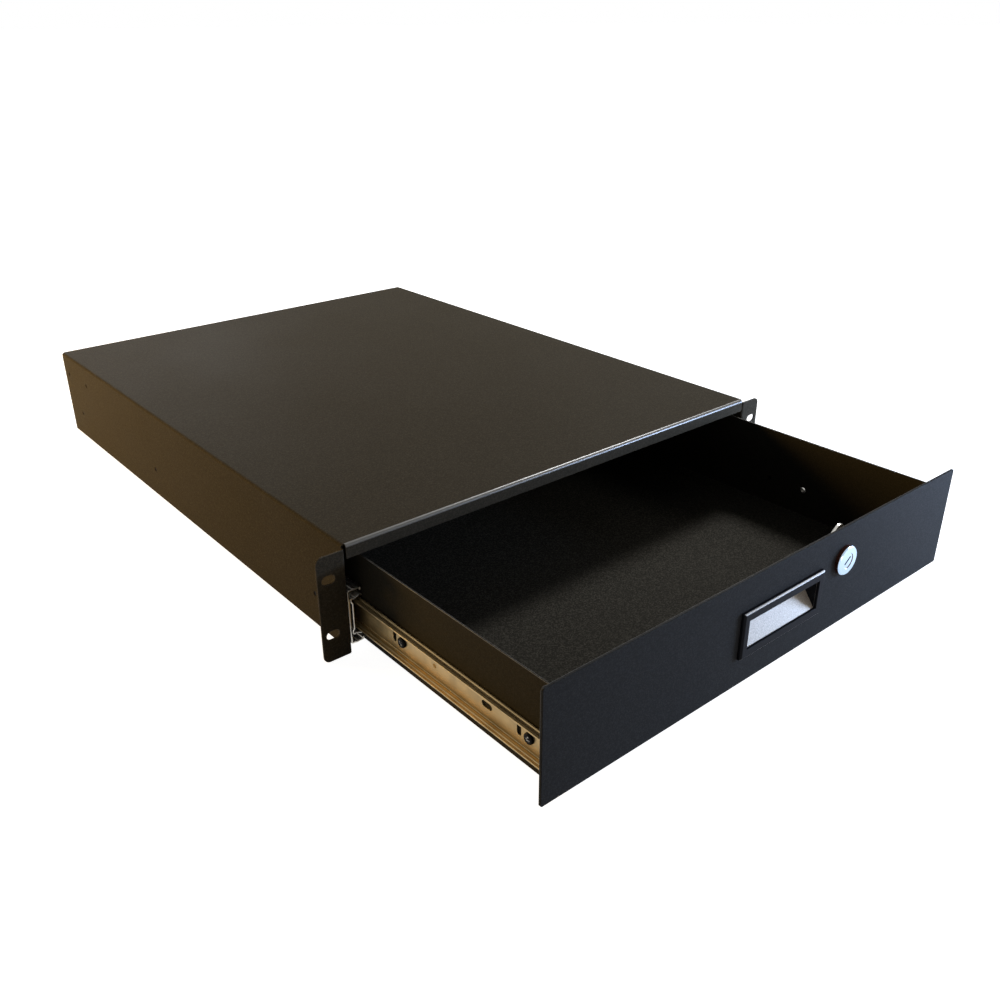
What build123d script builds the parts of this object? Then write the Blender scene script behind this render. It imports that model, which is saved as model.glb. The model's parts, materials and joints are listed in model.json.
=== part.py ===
from build123d import *
import os

# Sliding rack drawer, two rack units high, shown part open as in its resting pose.
# Frame: X to the right, Y to the back, Z up. The origin is the centre of the four
# rack slots, on the back face of the ears, where they meet the rack's rails.
# All sizes are in millimetres.

# Rack standard
RACK_WIDTH = 482.6          # over both ears
SLOT_INSET = 8.75           # slot centre to the outer edge of the ear
SLOT_SPACING_Z = 44.45      # between the lower and upper slots, one rack unit
SLOT_LENGTH = 10.5
SLOT_HEIGHT = 7.0

# Case, one folded sheet that is open at the front and underneath
CASE_SHEET = 1.5
CASE_BEND = 1.0             # inside radius of its folds
EAR_WIDTH = 21.7            # side wall to the outer edge of the ear
CASE_DEPTH = 565.5          # front face of the ears to the rear flanges
CASE_HEIGHT = 86.7          # side walls
CASE_TOP = 44.25            # top face above the slots' centre
LIP_HEIGHT = 11.1           # front edge of the top, folded down
LIP_END_GAP = 1.1           # lip end to side wall
EAR_HEIGHT = 84.6
EAR_STEP = 3.2              # top of the case to top of the ear
EAR_CORNER = 5.0
REAR_FLANGE = 12.0          # return of each side wall across the back
FOLD_RELIEF = 1.0           # cut back at the end of a fold
WALL_HOLE = 4.0

# Rear panel, riveted to the side walls by two long tabs
TAB_LENGTH = 70.0
TAB_HEIGHT = 18.0
TAB_RIVET_Z = 23.4
TAB_RIVET_INSET = 14.5      # rear of the case to the rear rivet
TAB_RIVET_PITCH = 50.0
REAR_FOOT = 14.0            # stiffening flange along the bottom

# Drawer tray, one folded sheet
SLIDE_SPACE = 12.7          # case wall to tray wall, the width of a slide
TRAY_SHEET = 1.2
TRAY_BEND = 1.0
TRAY_LENGTH = 540.0
TRAY_BOTTOM = 2.3           # tray above the bottom of the case walls
TRAY_HEIGHT = 71.6
CORNER_SLIT = 0.4           # between two walls of the tray at a corner

# Front panel
PANEL_SHEET = 2.0
PANEL_OVERLAP = 1.5         # panel beyond each side wall of the case
PANEL_BOTTOM = 1.0          # panel above the bottom of the case walls
PANEL_TOP = 1.7             # panel below the top of the case
PANEL_CORNER = 1.5
PANEL_EDGE = 0.4            # softened front edge
OPEN_AT_REST = 202.0        # how far the drawer stands out
CLOSED_GAP = 0.3            # panel to ears when it is shut
STUD_X = 185.0
STUD_LOW = -28.0
STUD_HIGH = 18.0
STUD_RADIUS = 2.0
STUD_LENGTH = 7.0
NUT_ACROSS = 7.0
NUT_THICK = 3.2
NUT_FLANGE = 4.6
NUT_FLANGE_THICK = 0.8

# Ball-bearing slides. Across a slide, u runs from the case wall to the tray.
SLIDE_DROP = 14.85          # slide centre below the slots' centre
SLIDE_SETBACK = 1.0         # front face of the ears to the front of the rails
OUTER_RAIL_LENGTH = 550.0
MOVING_RAIL_LENGTH = 540.0
OUTER_RAIL_HEIGHT = 45.3
OUTER_RAIL_WIDTH = 11.0
OUTER_RAIL_SHEET = 1.2
OUTER_RAIL_LIP = 2.7
MIDDLE_RAIL_SHEET = 1.0
MIDDLE_RAIL_BACK = 1.9      # case wall to the pressed-out bands of the web
MIDDLE_RAIL_STEP = 1.2      # from those bands to the middle of the web
MIDDLE_RAIL_TIP = 11.5
MIDDLE_BAND = 3.6           # flange to the step in the web
MIDDLE_RAIL_RISE = 0.7      # the flange's inner race above its outer one
ACCESS_HOLE_RADIUS = 5.0    # lets a driver reach the outer screws
INNER_RAIL_SHEET = 1.1
INNER_RAIL_TIP = 5.8
RAIL_BEND = 0.4
OUTER_BALL = 6.35           # diameter, a quarter of an inch
INNER_BALL = 3.969          # diameter, five thirty-seconds of an inch
OUTER_BALL_U = 5.1
INNER_BALL_U = 9.3
BALL_CLEARANCE = 0.2
RACE_DEPTH = 0.4
RACE_FLOOR = 1.2            # flat width at the bottom of a race
RACE_FLANK = 0.8
CAGE_LENGTH = 250.0
CAGE_SHUT = 142.0           # front of the rails to the cages when shut
CAGE_STRIP = 0.8
CAGE_SHEET = 0.6
CAGE_CLEARANCE = 0.3
CAGE_DROP = 0.35            # inner cage below the centres of its balls
CAGE_RIM = 0.7              # left beside a ball hole at the edge of a cage
POCKET_CLEARANCE = 0.1
OUTER_BALL_COUNT = 5
INNER_BALL_COUNT = 5
BALL_END = 12.0             # end of a cage to its first ball
BUMPER_LENGTH = 8.0
BUMPER_GAP = 0.3

# Fasteners of the slides, as distances behind the front of a rail
OUTER_SCREWS = (45.0, 336.0, 528.0)
OUTER_SCREW_RADIUS = 1.9
OUTER_HEAD_RADIUS = 4.0
OUTER_HEAD_THICK = 1.0
OUTER_SCREW_RECESS = 0.5    # its end below the outside of the case
INNER_SCREW_FIRST = 23.0
INNER_SCREW_PITCH = 130.0
INNER_SCREW_COUNT = 4
INNER_SCREW_RADIUS = 1.9
INNER_HEAD_RADIUS = 4.0
INNER_HEAD_THICK = 2.2
UPRIGHT_SLOT_OFFSET = 9.7   # screw to the upright slot behind it
UPRIGHT_SLOT = (4.0, 8.0)
LEVEL_SLOT_OFFSET = 40.0    # screw to the level slot behind it
LEVEL_SLOT = (10.0, 4.6)
TRAY_RIVET_FIRST = 117.0
TRAY_RIVET_PITCH = 260.0
RIVET_RADIUS = 1.6
RIVET_HEAD_RADIUS = 2.8
RIVET_HEAD_THICK = 0.9
SHANK_CLEARANCE = 0.1
HEAD_ROUND = 0.6            # share of a head's thickness that is rounded

# Recessed pull
PULL_WIDTH = 90.6
PULL_HEIGHT = 36.4
PULL_RISE = 40.9            # pull centre above the bottom of the panel
PULL_PROUD = 3.2
PULL_BEVEL = 1.2
PULL_OPENING_WIDTH = 79.0
PULL_OPENING_HEIGHT = 22.8
CUP_WALL = 1.5
CUP_DEPTH = 14.0
CUP_BACK = 5.0              # height of the upright part of the cup's back
CUP_RIM = 2.0
CUP_RIM_THICK = 1.0
PULL_CLEARANCE = 0.3

# Cam lock
LOCK_X = 72.7
LOCK_Z = 15.0
LOCK_HEAD_RADIUS = 11.5
LOCK_HEAD_PROUD = 3.6
LOCK_HEAD_CHAMFER = 0.8
LOCK_BODY_RADIUS = 9.4
LOCK_BODY_FLATS = 16.4
LOCK_HOLE_CLEARANCE = 0.15
LOCK_REACH = 14.7           # front of the panel to the cam
LOCK_NUT_ACROSS = 23.0
LOCK_NUT_THICK = 3.0
PLUG_RADIUS = 6.0
PLUG_CLEARANCE = 0.05
PLUG_RECESS = 0.4
KEYWAY = (1.6, 8.0)
KEYWAY_DEPTH = 9.0
CAM_SHEET = 2.0
CAM_REACH = 24.5
CAM_TIP_RADIUS = 6.0
CAM_HUB_RADIUS = 8.0
CAM_SQUARE = 6.6
CAM_CLEARANCE = 0.1
CAM_REST_ANGLE = 52.0       # cam tip from straight up, towards +X
CAM_SCREW_RADIUS = 2.0
CAM_SCREW_DEPTH = 6.0
CAM_HEAD_RADIUS = 4.2
CAM_HEAD_THICK = 2.4
STRIKE_SHEET = 1.5
STRIKE_WIDTH = 34.0
STRIKE_FOOT = 8.5
STRIKE_GAP = 0.5

# Sizes and places that follow from the sizes above
case_width = RACK_WIDTH - 2 * EAR_WIDTH
slot_x = RACK_WIDTH / 2 - SLOT_INSET
panel_width = case_width + 2 * PANEL_OVERLAP
panel_height = CASE_HEIGHT - PANEL_BOTTOM - PANEL_TOP
front_face = -CASE_SHEET
case_rear = CASE_DEPTH - CASE_SHEET
case_bottom = CASE_TOP - CASE_HEIGHT
lip_bottom = CASE_TOP - LIP_HEIGHT
ear_top = CASE_TOP - EAR_STEP
ear_bottom = ear_top - EAR_HEIGHT
wall_inside = case_width / 2 - CASE_SHEET
tray_side = wall_inside - SLIDE_SPACE
panel_back = front_face - CLOSED_GAP - OPEN_AT_REST
panel_front = panel_back - PANEL_SHEET
panel_bottom = case_bottom + PANEL_BOTTOM
panel_middle = panel_bottom + panel_height / 2
tray_bottom = case_bottom + TRAY_BOTTOM
tray_top = tray_bottom + TRAY_HEIGHT
tray_rear = panel_back + TRAY_LENGTH
tray_front_inside = panel_back + TRAY_SHEET
rail_front = front_face + SLIDE_SETBACK
inner_rail_front = rail_front - OPEN_AT_REST
pull_z = panel_bottom + PULL_RISE
cam_front = panel_front + LOCK_REACH

# Heights across a slide, from its centre, with each ball between its two races
outer_flange = OUTER_RAIL_HEIGHT / 2 - RACE_DEPTH
outer_ball_w = OUTER_RAIL_HEIGHT / 2 - OUTER_RAIL_SHEET - BALL_CLEARANCE - OUTER_BALL / 2
middle_flange = outer_ball_w - OUTER_BALL / 2 - BALL_CLEARANCE + RACE_DEPTH
raised_flange = middle_flange + MIDDLE_RAIL_RISE
inner_ball_w = raised_flange + RACE_DEPTH - MIDDLE_RAIL_SHEET - BALL_CLEARANCE - INNER_BALL / 2
inner_flange = inner_ball_w - INNER_BALL / 2 - BALL_CLEARANCE + RACE_DEPTH
middle_web = MIDDLE_RAIL_BACK + MIDDLE_RAIL_STEP
cage_web = middle_web + MIDDLE_RAIL_SHEET + CAGE_CLEARANCE
inner_web = SLIDE_SPACE - INNER_RAIL_SHEET


def sheet_section(points, thickness, bend):
    """Section of a folded sheet that lies to the left of a walk along the points."""
    corners = [Vector(*point) for point in points]
    runs = [(end - start).normalized() for start, end in zip(corners, corners[1:])]
    lefts = [Vector(-run.Y, run.X) for run in runs]
    far_side = [corners[0] + lefts[0] * thickness]
    near_radii = []
    far_radii = []
    for index, corner in enumerate(corners[1:-1]):
        before, after = lefts[index], lefts[index + 1]
        far_side.append(corner + (before + after) * (thickness / (1 + before.dot(after))))
        turns_left = runs[index].cross(runs[index + 1]).Z > 0
        near_radii.append(bend + thickness if turns_left else bend)
        far_radii.append(bend if turns_left else bend + thickness)
    far_side.append(corners[-1] + lefts[-1] * thickness)
    outline = corners + far_side[::-1]
    radii = [0, *near_radii, 0, 0, *far_radii[::-1], 0]
    return make_face(FilletPolyline(*outline, radius=radii, close=True).edges())


def along_x(section, start, end):
    """Extrude a section drawn as (Y, Z) from x = start to x = end."""
    return extrude(Plane.YZ.offset(start) * section, amount=end - start, dir=(1, 0, 0))


def along_y(section, start, end):
    """Extrude a section drawn as (X, Z) from y = start to y = end."""
    return extrude(Plane.XZ.offset(-start) * section, amount=end - start, dir=(0, 1, 0))


def along_z(section, start, end):
    """Extrude a section drawn as (X, Y) from z = start to z = end."""
    return extrude(Pos(0, 0, start) * section, amount=end - start, dir=(0, 0, 1))


def block(x, y, z):
    """A box between two places along each axis."""
    size = Box(x[1] - x[0], y[1] - y[0], z[1] - z[0])
    return Pos((x[0] + x[1]) / 2, (y[0] + y[1]) / 2, (z[0] + z[1]) / 2) * size


def facing_front(x, y, z):
    """A drawing plane seen from the front: its own x is X and its own y is Z."""
    return Plane(origin=(x, y, z), x_dir=(1, 0, 0), z_dir=(0, -1, 0))


def facing_side(x, y, z, way=1):
    """A drawing plane across X, whose normal points along X the given way."""
    return Plane(origin=(x, y, z), x_dir=(0, 1, 0), z_dir=(way, 0, 0))


def through(sketches, y_start, y_end):
    """Bars along Y from y_start to y_end, one for each sketch drawn as seen from the front."""
    return [extrude(facing_front(0, y_end, 0) * sketch, amount=y_end - y_start) for sketch in sketches]


def both_sides(shape):
    """The left-hand shape with its mirror image on the right."""
    return [*shape.solids(), *mirror(shape, about=Plane.YZ).solids()]


def headed_pin(shank_radius, shank_length, head_radius, head_thick):
    """A screw or rivet along its own Z: head above zero, shank below."""
    head = extrude(Circle(head_radius), amount=head_thick)
    head = fillet(head.edges().group_by(Axis.Z)[-1], radius=head_thick * HEAD_ROUND)
    return head + extrude(Circle(shank_radius), amount=-shank_length)


def save(name, shapes):
    """Write one node, which may be a group of separate solids."""
    solids = [solid for shape in shapes for solid in shape.solids()]
    export_step(solids[0] if len(solids) == 1 else Compound(solids), f"parts/{name}.step")


# Case

def ear():
    """Right-hand ear, folded outwards from the front of the side wall."""
    section = sheet_section(
        [(wall_inside, CASE_BEND + CASE_SHEET), (wall_inside, front_face), (RACK_WIDTH / 2, front_face)],
        CASE_SHEET, CASE_BEND)
    plate = along_z(section, ear_bottom, ear_top)
    outer_corners = plate.edges().filter_by(Axis.Y).group_by(Axis.X)[-1]
    plate = fillet(outer_corners, radius=EAR_CORNER)
    slots = [Pos(slot_x, side * SLOT_SPACING_Z / 2) * SlotOverall(SLOT_LENGTH, SLOT_HEIGHT)
             for side in (-1, 1)]
    return plate - through(slots, 2 * front_face, -front_face)


def rear_flange():
    """Right-hand return flange, folded inwards from the rear of the side wall."""
    fold_start = case_rear - 2 * CASE_SHEET - CASE_BEND
    outside = case_width / 2
    section = sheet_section(
        [(outside, fold_start), (outside, case_rear), (outside - REAR_FLANGE, case_rear)],
        CASE_SHEET, CASE_BEND)
    return along_z(section, case_bottom, CASE_TOP - CASE_SHEET - CASE_BEND - FOLD_RELIEF)


def case_shell():
    half = case_width / 2
    channel = sheet_section(
        [(half, case_bottom), (half, CASE_TOP), (-half, CASE_TOP), (-half, case_bottom)],
        CASE_SHEET, CASE_BEND)
    walls_end = case_rear - CASE_SHEET - CASE_BEND
    shell = along_y(channel, CASE_BEND, walls_end)
    lip = sheet_section(
        [(CASE_BEND + CASE_SHEET, CASE_TOP), (front_face, CASE_TOP), (front_face, lip_bottom)],
        CASE_SHEET, CASE_BEND)
    lip_half = wall_inside - LIP_END_GAP
    shell += along_x(lip, -lip_half, lip_half)
    top_half = wall_inside - CASE_BEND
    shell += block((-top_half, top_half), (walls_end - CASE_SHEET, case_rear - CASE_SHEET),
                   (CASE_TOP - CASE_SHEET, CASE_TOP))
    for piece in (ear(), rear_flange()):
        shell += piece
        shell += mirror(piece, about=Plane.YZ)
    for y, z in wall_holes():
        shell -= extrude(facing_side(-half - CASE_SHEET, y, z) * Circle(WALL_HOLE / 2),
                         amount=2 * (half + CASE_SHEET))
    return shell


def tab_rivet_places():
    rear = case_rear - TAB_RIVET_INSET
    return [(rear - step * TAB_RIVET_PITCH, TAB_RIVET_Z) for step in range(2)]


def outer_screw_places():
    return [(rail_front + place, -SLIDE_DROP) for place in OUTER_SCREWS]


def wall_holes():
    """Every hole through the side walls, as (y, z)."""
    return tab_rivet_places() + outer_screw_places()


def rear_panel():
    """Back of the case: a plate inside the flanges, with a foot and two side tabs."""
    back = case_rear - CASE_SHEET
    plate = sheet_section(
        [(back - REAR_FOOT, case_bottom), (back, case_bottom), (back, CASE_TOP - CASE_SHEET)],
        CASE_SHEET, CASE_BEND)
    half = wall_inside - CASE_SHEET - CASE_BEND - FOLD_RELIEF
    panel = along_x(plate, -half, half)
    tab = sheet_section(
        [(wall_inside, back - TAB_LENGTH), (wall_inside, back), (half - CASE_SHEET, back)],
        CASE_SHEET, CASE_BEND)
    tab = along_z(tab, TAB_RIVET_Z - TAB_HEIGHT / 2, TAB_RIVET_Z + TAB_HEIGHT / 2)
    panel = panel + tab + mirror(tab, about=Plane.YZ)
    for y, z in tab_rivet_places():
        panel -= extrude(facing_side(-wall_inside, y, z) * Circle(WALL_HOLE / 2), amount=2 * wall_inside)
    return panel


def rear_panel_rivets():
    """Left-hand rivets, with their heads inside the case."""
    pin = headed_pin(WALL_HOLE / 2 - SHANK_CLEARANCE, 2 * CASE_SHEET - OUTER_SCREW_RECESS,
                     RIVET_HEAD_RADIUS, RIVET_HEAD_THICK)
    head_x = -wall_inside + CASE_SHEET
    return [both_sides(facing_side(head_x, y, z) * pin) for y, z in tab_rivet_places()]


def lock_strike():
    """Angle under the top of the case that the cam turns up behind."""
    back = cam_front + OPEN_AT_REST - STRIKE_GAP
    under = CASE_TOP - CASE_SHEET
    section = sheet_section([(back, lip_bottom), (back, under), (back - STRIKE_FOOT, under)],
                            STRIKE_SHEET, CASE_BEND)
    return along_x(section, LOCK_X - STRIKE_WIDTH / 2, LOCK_X + STRIKE_WIDTH / 2)


# Slides, drawn on the left with u as X, v along Y and the centre at Z = 0

def race(centre, height, depth):
    """Four outline points across a ball race, in rising u."""
    half = RACE_FLOOR / 2
    return [(centre - half - RACE_FLANK, height), (centre - half, height + depth),
            (centre + half, height + depth), (centre + half + RACE_FLANK, height)]


def mirrored_down(points):
    """The upper points followed by their mirror image below the centre."""
    return points + [(u, -w) for u, w in reversed(points)]


def outer_rail_section():
    upper = [(OUTER_RAIL_WIDTH, outer_flange - OUTER_RAIL_LIP), (OUTER_RAIL_WIDTH, outer_flange),
             *reversed(race(OUTER_BALL_U, outer_flange, RACE_DEPTH)), (0, outer_flange)]
    return sheet_section(mirrored_down(upper), OUTER_RAIL_SHEET, RAIL_BEND)


def middle_rail_section():
    """Each flange runs in an S from the outer balls' race to the inner balls' race."""
    band_end = middle_flange - MIDDLE_BAND
    inner_race = race(INNER_BALL_U, raised_flange, RACE_DEPTH)[1:]
    outer_race = race(OUTER_BALL_U, middle_flange, -RACE_DEPTH)[:-1]
    upper = [(MIDDLE_RAIL_TIP, raised_flange), *reversed(inner_race), *reversed(outer_race),
             (MIDDLE_RAIL_BACK, middle_flange), (MIDDLE_RAIL_BACK, band_end),
             (middle_web, band_end - MIDDLE_RAIL_STEP)]
    return sheet_section(mirrored_down(upper), MIDDLE_RAIL_SHEET, RAIL_BEND)


def inner_rail_section():
    upper = [(INNER_RAIL_TIP, inner_flange), *race(INNER_BALL_U, inner_flange, -RACE_DEPTH),
             (SLIDE_SPACE, inner_flange)]
    return sheet_section(mirrored_down(upper)[::-1], INNER_RAIL_SHEET, RAIL_BEND)


def slide_place(shape):
    """Put a shape drawn across a slide on the left-hand wall."""
    return Pos(-wall_inside, 0, -SLIDE_DROP) * shape


def screw_slots(places):
    """Adjusting slots of a rail behind its screws, as (y, sketch)."""
    upright = [(y + UPRIGHT_SLOT_OFFSET, Rot(0, 0, 90) * SlotOverall(*reversed(UPRIGHT_SLOT)))
               for y in places]
    level = [(y + LEVEL_SLOT_OFFSET, SlotOverall(*LEVEL_SLOT)) for y in places[::2]]
    return upright + level


def outer_rail():
    rail = along_y(outer_rail_section(), rail_front, rail_front + OUTER_RAIL_LENGTH)
    places = [rail_front + place for place in OUTER_SCREWS]
    holes = [(y, Circle(OUTER_SCREW_RADIUS + SHANK_CLEARANCE)) for y in places]
    for y, sketch in holes + screw_slots(places[:-1]):
        rail -= extrude(facing_side(-OUTER_RAIL_SHEET, y, 0) * sketch, amount=3 * OUTER_RAIL_SHEET)
    return slide_place(rail)


def outer_rail_screws():
    length = OUTER_RAIL_SHEET + CASE_SHEET - OUTER_SCREW_RECESS
    pin = headed_pin(OUTER_SCREW_RADIUS, length, OUTER_HEAD_RADIUS, OUTER_HEAD_THICK)
    return [slide_place(facing_side(OUTER_RAIL_SHEET, rail_front + place, 0) * pin)
            for place in OUTER_SCREWS]


def rail_bumper():
    """Block in the rear of the outer rail that stops both moving rails."""
    start = rail_front + MOVING_RAIL_LENGTH + BUMPER_GAP
    half = outer_flange - OUTER_RAIL_SHEET - OUTER_RAIL_LIP
    body = block((OUTER_RAIL_SHEET, OUTER_RAIL_WIDTH - OUTER_RAIL_SHEET),
                 (start, start + BUMPER_LENGTH), (-half, half))
    return slide_place(fillet(body.edges().filter_by(Axis.X), radius=BUMPER_LENGTH / 4))


def middle_rail():
    rail = along_y(middle_rail_section(), rail_front, rail_front + MOVING_RAIL_LENGTH)
    for place in OUTER_SCREWS:
        rail -= extrude(facing_side(middle_web - MIDDLE_RAIL_SHEET, rail_front + place, 0)
                        * Circle(ACCESS_HOLE_RADIUS), amount=3 * MIDDLE_RAIL_SHEET)
    return slide_place(rail)


def ball_places(start, count):
    """Places of one row of balls along a cage that begins at start."""
    pitch = (CAGE_LENGTH - 2 * BALL_END) / (count - 1)
    return [start + BALL_END + index * pitch for index in range(count)]


def ball_row(start, count, diameter, u, w):
    return [slide_place(Pos(u, y, side * w) * Sphere(diameter / 2))
            for side in (-1, 1) for y in ball_places(start, count)]


def outer_cage():
    """Two flat strips, one above and one below, each with a row of round pockets."""
    start = rail_front + CAGE_SHUT
    edges = (OUTER_RAIL_SHEET + CAGE_CLEARANCE, OUTER_RAIL_WIDTH - OUTER_RAIL_SHEET - CAGE_CLEARANCE)
    pocket = Circle(OUTER_BALL / 2 + POCKET_CLEARANCE)
    strips = []
    for side in (-1, 1):
        middle = side * outer_ball_w
        strip = block(edges, (start, start + CAGE_LENGTH), (middle - CAGE_STRIP / 2, middle + CAGE_STRIP / 2))
        for y in ball_places(start, OUTER_BALL_COUNT):
            strip -= along_z(Pos(OUTER_BALL_U, y) * pocket, middle - CAGE_STRIP, middle + CAGE_STRIP)
        strips.append(slide_place(strip))
    return strips


def inner_cage():
    """A channel inside the middle rail, with a row of pockets in each flange."""
    start = rail_front + CAGE_SHUT - OPEN_AT_REST / 2
    flange = inner_ball_w + CAGE_SHEET / 2 - CAGE_DROP
    tip = INNER_BALL_U + INNER_BALL / 2 + POCKET_CLEARANCE + CAGE_RIM
    section = sheet_section(mirrored_down([(tip, flange), (cage_web, flange)]), CAGE_SHEET, RAIL_BEND)
    cage = along_y(section, start, start + CAGE_LENGTH)
    pocket = Circle(INNER_BALL / 2 + POCKET_CLEARANCE)
    for y in ball_places(start, INNER_BALL_COUNT):
        cage -= along_z(Pos(INNER_BALL_U, y) * pocket, -flange - CAGE_SHEET, flange + CAGE_SHEET)
    return slide_place(cage)


def inner_screw_places():
    return [inner_rail_front + INNER_SCREW_FIRST + index * INNER_SCREW_PITCH
            for index in range(INNER_SCREW_COUNT)]


def tray_rivet_places():
    return [inner_rail_front + TRAY_RIVET_FIRST + index * TRAY_RIVET_PITCH for index in range(2)]


def rail_holes():
    """Round holes that the inner rail and the tray wall share, as (y, sketch)."""
    screws = [(y, Circle(INNER_SCREW_RADIUS + SHANK_CLEARANCE)) for y in inner_screw_places()]
    rivets = [(y, Circle(RIVET_RADIUS + SHANK_CLEARANCE)) for y in tray_rivet_places()]
    return screws + rivets


def inner_rail():
    rail = along_y(inner_rail_section(), inner_rail_front, inner_rail_front + MOVING_RAIL_LENGTH)
    for y, sketch in rail_holes() + screw_slots(inner_screw_places()):
        rail -= extrude(facing_side(inner_web - INNER_RAIL_SHEET, y, 0) * sketch,
                        amount=3 * INNER_RAIL_SHEET)
    return slide_place(rail)


def inner_rail_screws():
    pin = headed_pin(INNER_SCREW_RADIUS, INNER_RAIL_SHEET + TRAY_SHEET, INNER_HEAD_RADIUS, INNER_HEAD_THICK)
    return [slide_place(facing_side(inner_web, y, 0, -1) * pin) for y in inner_screw_places()]


def tray_rivets():
    """Rivets with their heads inside the tray and their tails flush with the rail."""
    pin = headed_pin(RIVET_RADIUS, INNER_RAIL_SHEET + TRAY_SHEET, RIVET_HEAD_RADIUS, RIVET_HEAD_THICK)
    return [slide_place(facing_side(SLIDE_SPACE + TRAY_SHEET, y, 0) * pin) for y in tray_rivet_places()]


# Drawer

def lock_hole():
    """Round hole with two flats that the lock's body passes."""
    radius = LOCK_BODY_RADIUS + LOCK_HOLE_CLEARANCE
    flats = Rectangle(LOCK_BODY_FLATS + 2 * LOCK_HOLE_CLEARANCE, 3 * radius)
    return Pos(LOCK_X, LOCK_Z) * (Circle(radius) & flats)


def pull_hole():
    """Hole in the panel and the tray's front wall that the cup of the pull passes."""
    grow = 2 * (CUP_WALL + PULL_CLEARANCE)
    return Pos(0, pull_z) * Rectangle(PULL_OPENING_WIDTH + grow, PULL_OPENING_HEIGHT + grow)


def stud_places():
    return [(x, z) for x in (-STUD_X, STUD_X) for z in (STUD_LOW, STUD_HIGH)]


def drawer_tray():
    sides = sheet_section(
        [(-tray_side, tray_top), (-tray_side, tray_bottom), (tray_side, tray_bottom), (tray_side, tray_top)],
        TRAY_SHEET, TRAY_BEND)
    ends = sheet_section(
        [(panel_back, tray_top), (panel_back, tray_bottom), (tray_rear, tray_bottom), (tray_rear, tray_top)],
        TRAY_SHEET, TRAY_BEND)
    end_strip = TRAY_SHEET + TRAY_BEND
    end_half = tray_side - TRAY_SHEET - CORNER_SLIT
    side_start = tray_front_inside + CORNER_SLIT
    side_end = tray_rear - TRAY_SHEET - CORNER_SLIT
    tray = along_y(sides, side_start, side_end)
    corner_cut = end_strip + CORNER_SLIT
    for x in (-1, 1):
        for y_inside, y_outside in ((side_start, side_start + end_strip), (side_end - end_strip, side_end)):
            x_span = sorted((x * (tray_side - corner_cut), x * (end_half)))
            tray -= block(x_span, (y_inside, y_outside), (tray_bottom - TRAY_SHEET, tray_bottom + end_strip))
    tray += along_x(ends, -end_half, end_half)
    holes = [lock_hole(), pull_hole()]
    holes += [Pos(x, z) * Circle(STUD_RADIUS + SHANK_CLEARANCE) for x, z in stud_places()]
    tray -= through(holes, panel_back - TRAY_SHEET, tray_front_inside + TRAY_SHEET)
    for y, sketch in rail_holes():
        tray -= extrude(facing_side(-tray_side - TRAY_SHEET, y, -SLIDE_DROP) * sketch,
                        amount=2 * (tray_side + TRAY_SHEET))
    return tray


def front_panel():
    outline = Pos(0, panel_middle) * RectangleRounded(panel_width, panel_height, PANEL_CORNER)
    panel = extrude(facing_front(0, panel_back, 0) * outline, amount=PANEL_SHEET)
    panel = fillet(panel.faces().sort_by(Axis.Y)[0].edges(), radius=PANEL_EDGE)
    return panel - through([lock_hole(), pull_hole()], panel_front - PANEL_SHEET, panel_back + PANEL_SHEET)


def panel_studs():
    """Studs welded to the back of the panel."""
    return [extrude(facing_front(x, panel_back + STUD_LENGTH, z) * Circle(STUD_RADIUS), amount=STUD_LENGTH)
            for x, z in stud_places()]


def panel_nuts():
    nuts = []
    for x, z in stud_places():
        flange_end = tray_front_inside + NUT_FLANGE_THICK
        nut_end = tray_front_inside + NUT_THICK
        flange = extrude(facing_front(x, flange_end, z) * Circle(NUT_FLANGE), amount=NUT_FLANGE_THICK)
        hexagon = RegularPolygon(NUT_ACROSS / 2, 6, major_radius=False)
        body = extrude(facing_front(x, nut_end, z) * hexagon, amount=NUT_THICK - NUT_FLANGE_THICK)
        bore = extrude(facing_front(x, nut_end, z) * Circle(STUD_RADIUS + SHANK_CLEARANCE), amount=NUT_THICK)
        nuts.append(flange + body - bore)
    return nuts


def pull_opening_section():
    """Inside of the cup as (Y, Z): a floor that slopes up to an upright back."""
    low = pull_z - PULL_OPENING_HEIGHT / 2
    high = pull_z + PULL_OPENING_HEIGHT / 2
    mouth = panel_front - CUP_RIM_THICK
    back = panel_front + CUP_DEPTH - CUP_WALL
    return [(mouth, low), (back, high - CUP_BACK), (back, high), (mouth, high)]


def pull_cup():
    mouth = panel_front - CUP_RIM_THICK
    hollow = make_face(Polyline(*pull_opening_section(), close=True).edges())
    skin = offset(hollow, amount=CUP_WALL, kind=Kind.INTERSECTION)
    half = PULL_OPENING_WIDTH / 2
    body = along_x(skin, -half - CUP_WALL, half + CUP_WALL)
    rim = Pos(0, pull_z) * Rectangle(PULL_OPENING_WIDTH + 2 * (CUP_WALL + CUP_RIM),
                                     PULL_OPENING_HEIGHT + 2 * (CUP_WALL + CUP_RIM))
    body += through([rim], mouth, panel_front)
    inside = [(mouth - CUP_WALL, pull_z - PULL_OPENING_HEIGHT / 2), *pull_opening_section(),
              (mouth - CUP_WALL, pull_z + PULL_OPENING_HEIGHT / 2)]
    body -= along_x(make_face(Polyline(*inside, close=True).edges()), -half, half)
    return body - block((-PULL_WIDTH, PULL_WIDTH), (mouth - 2 * CUP_WALL, mouth),
                        (pull_z - PULL_HEIGHT, pull_z + PULL_HEIGHT))


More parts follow.
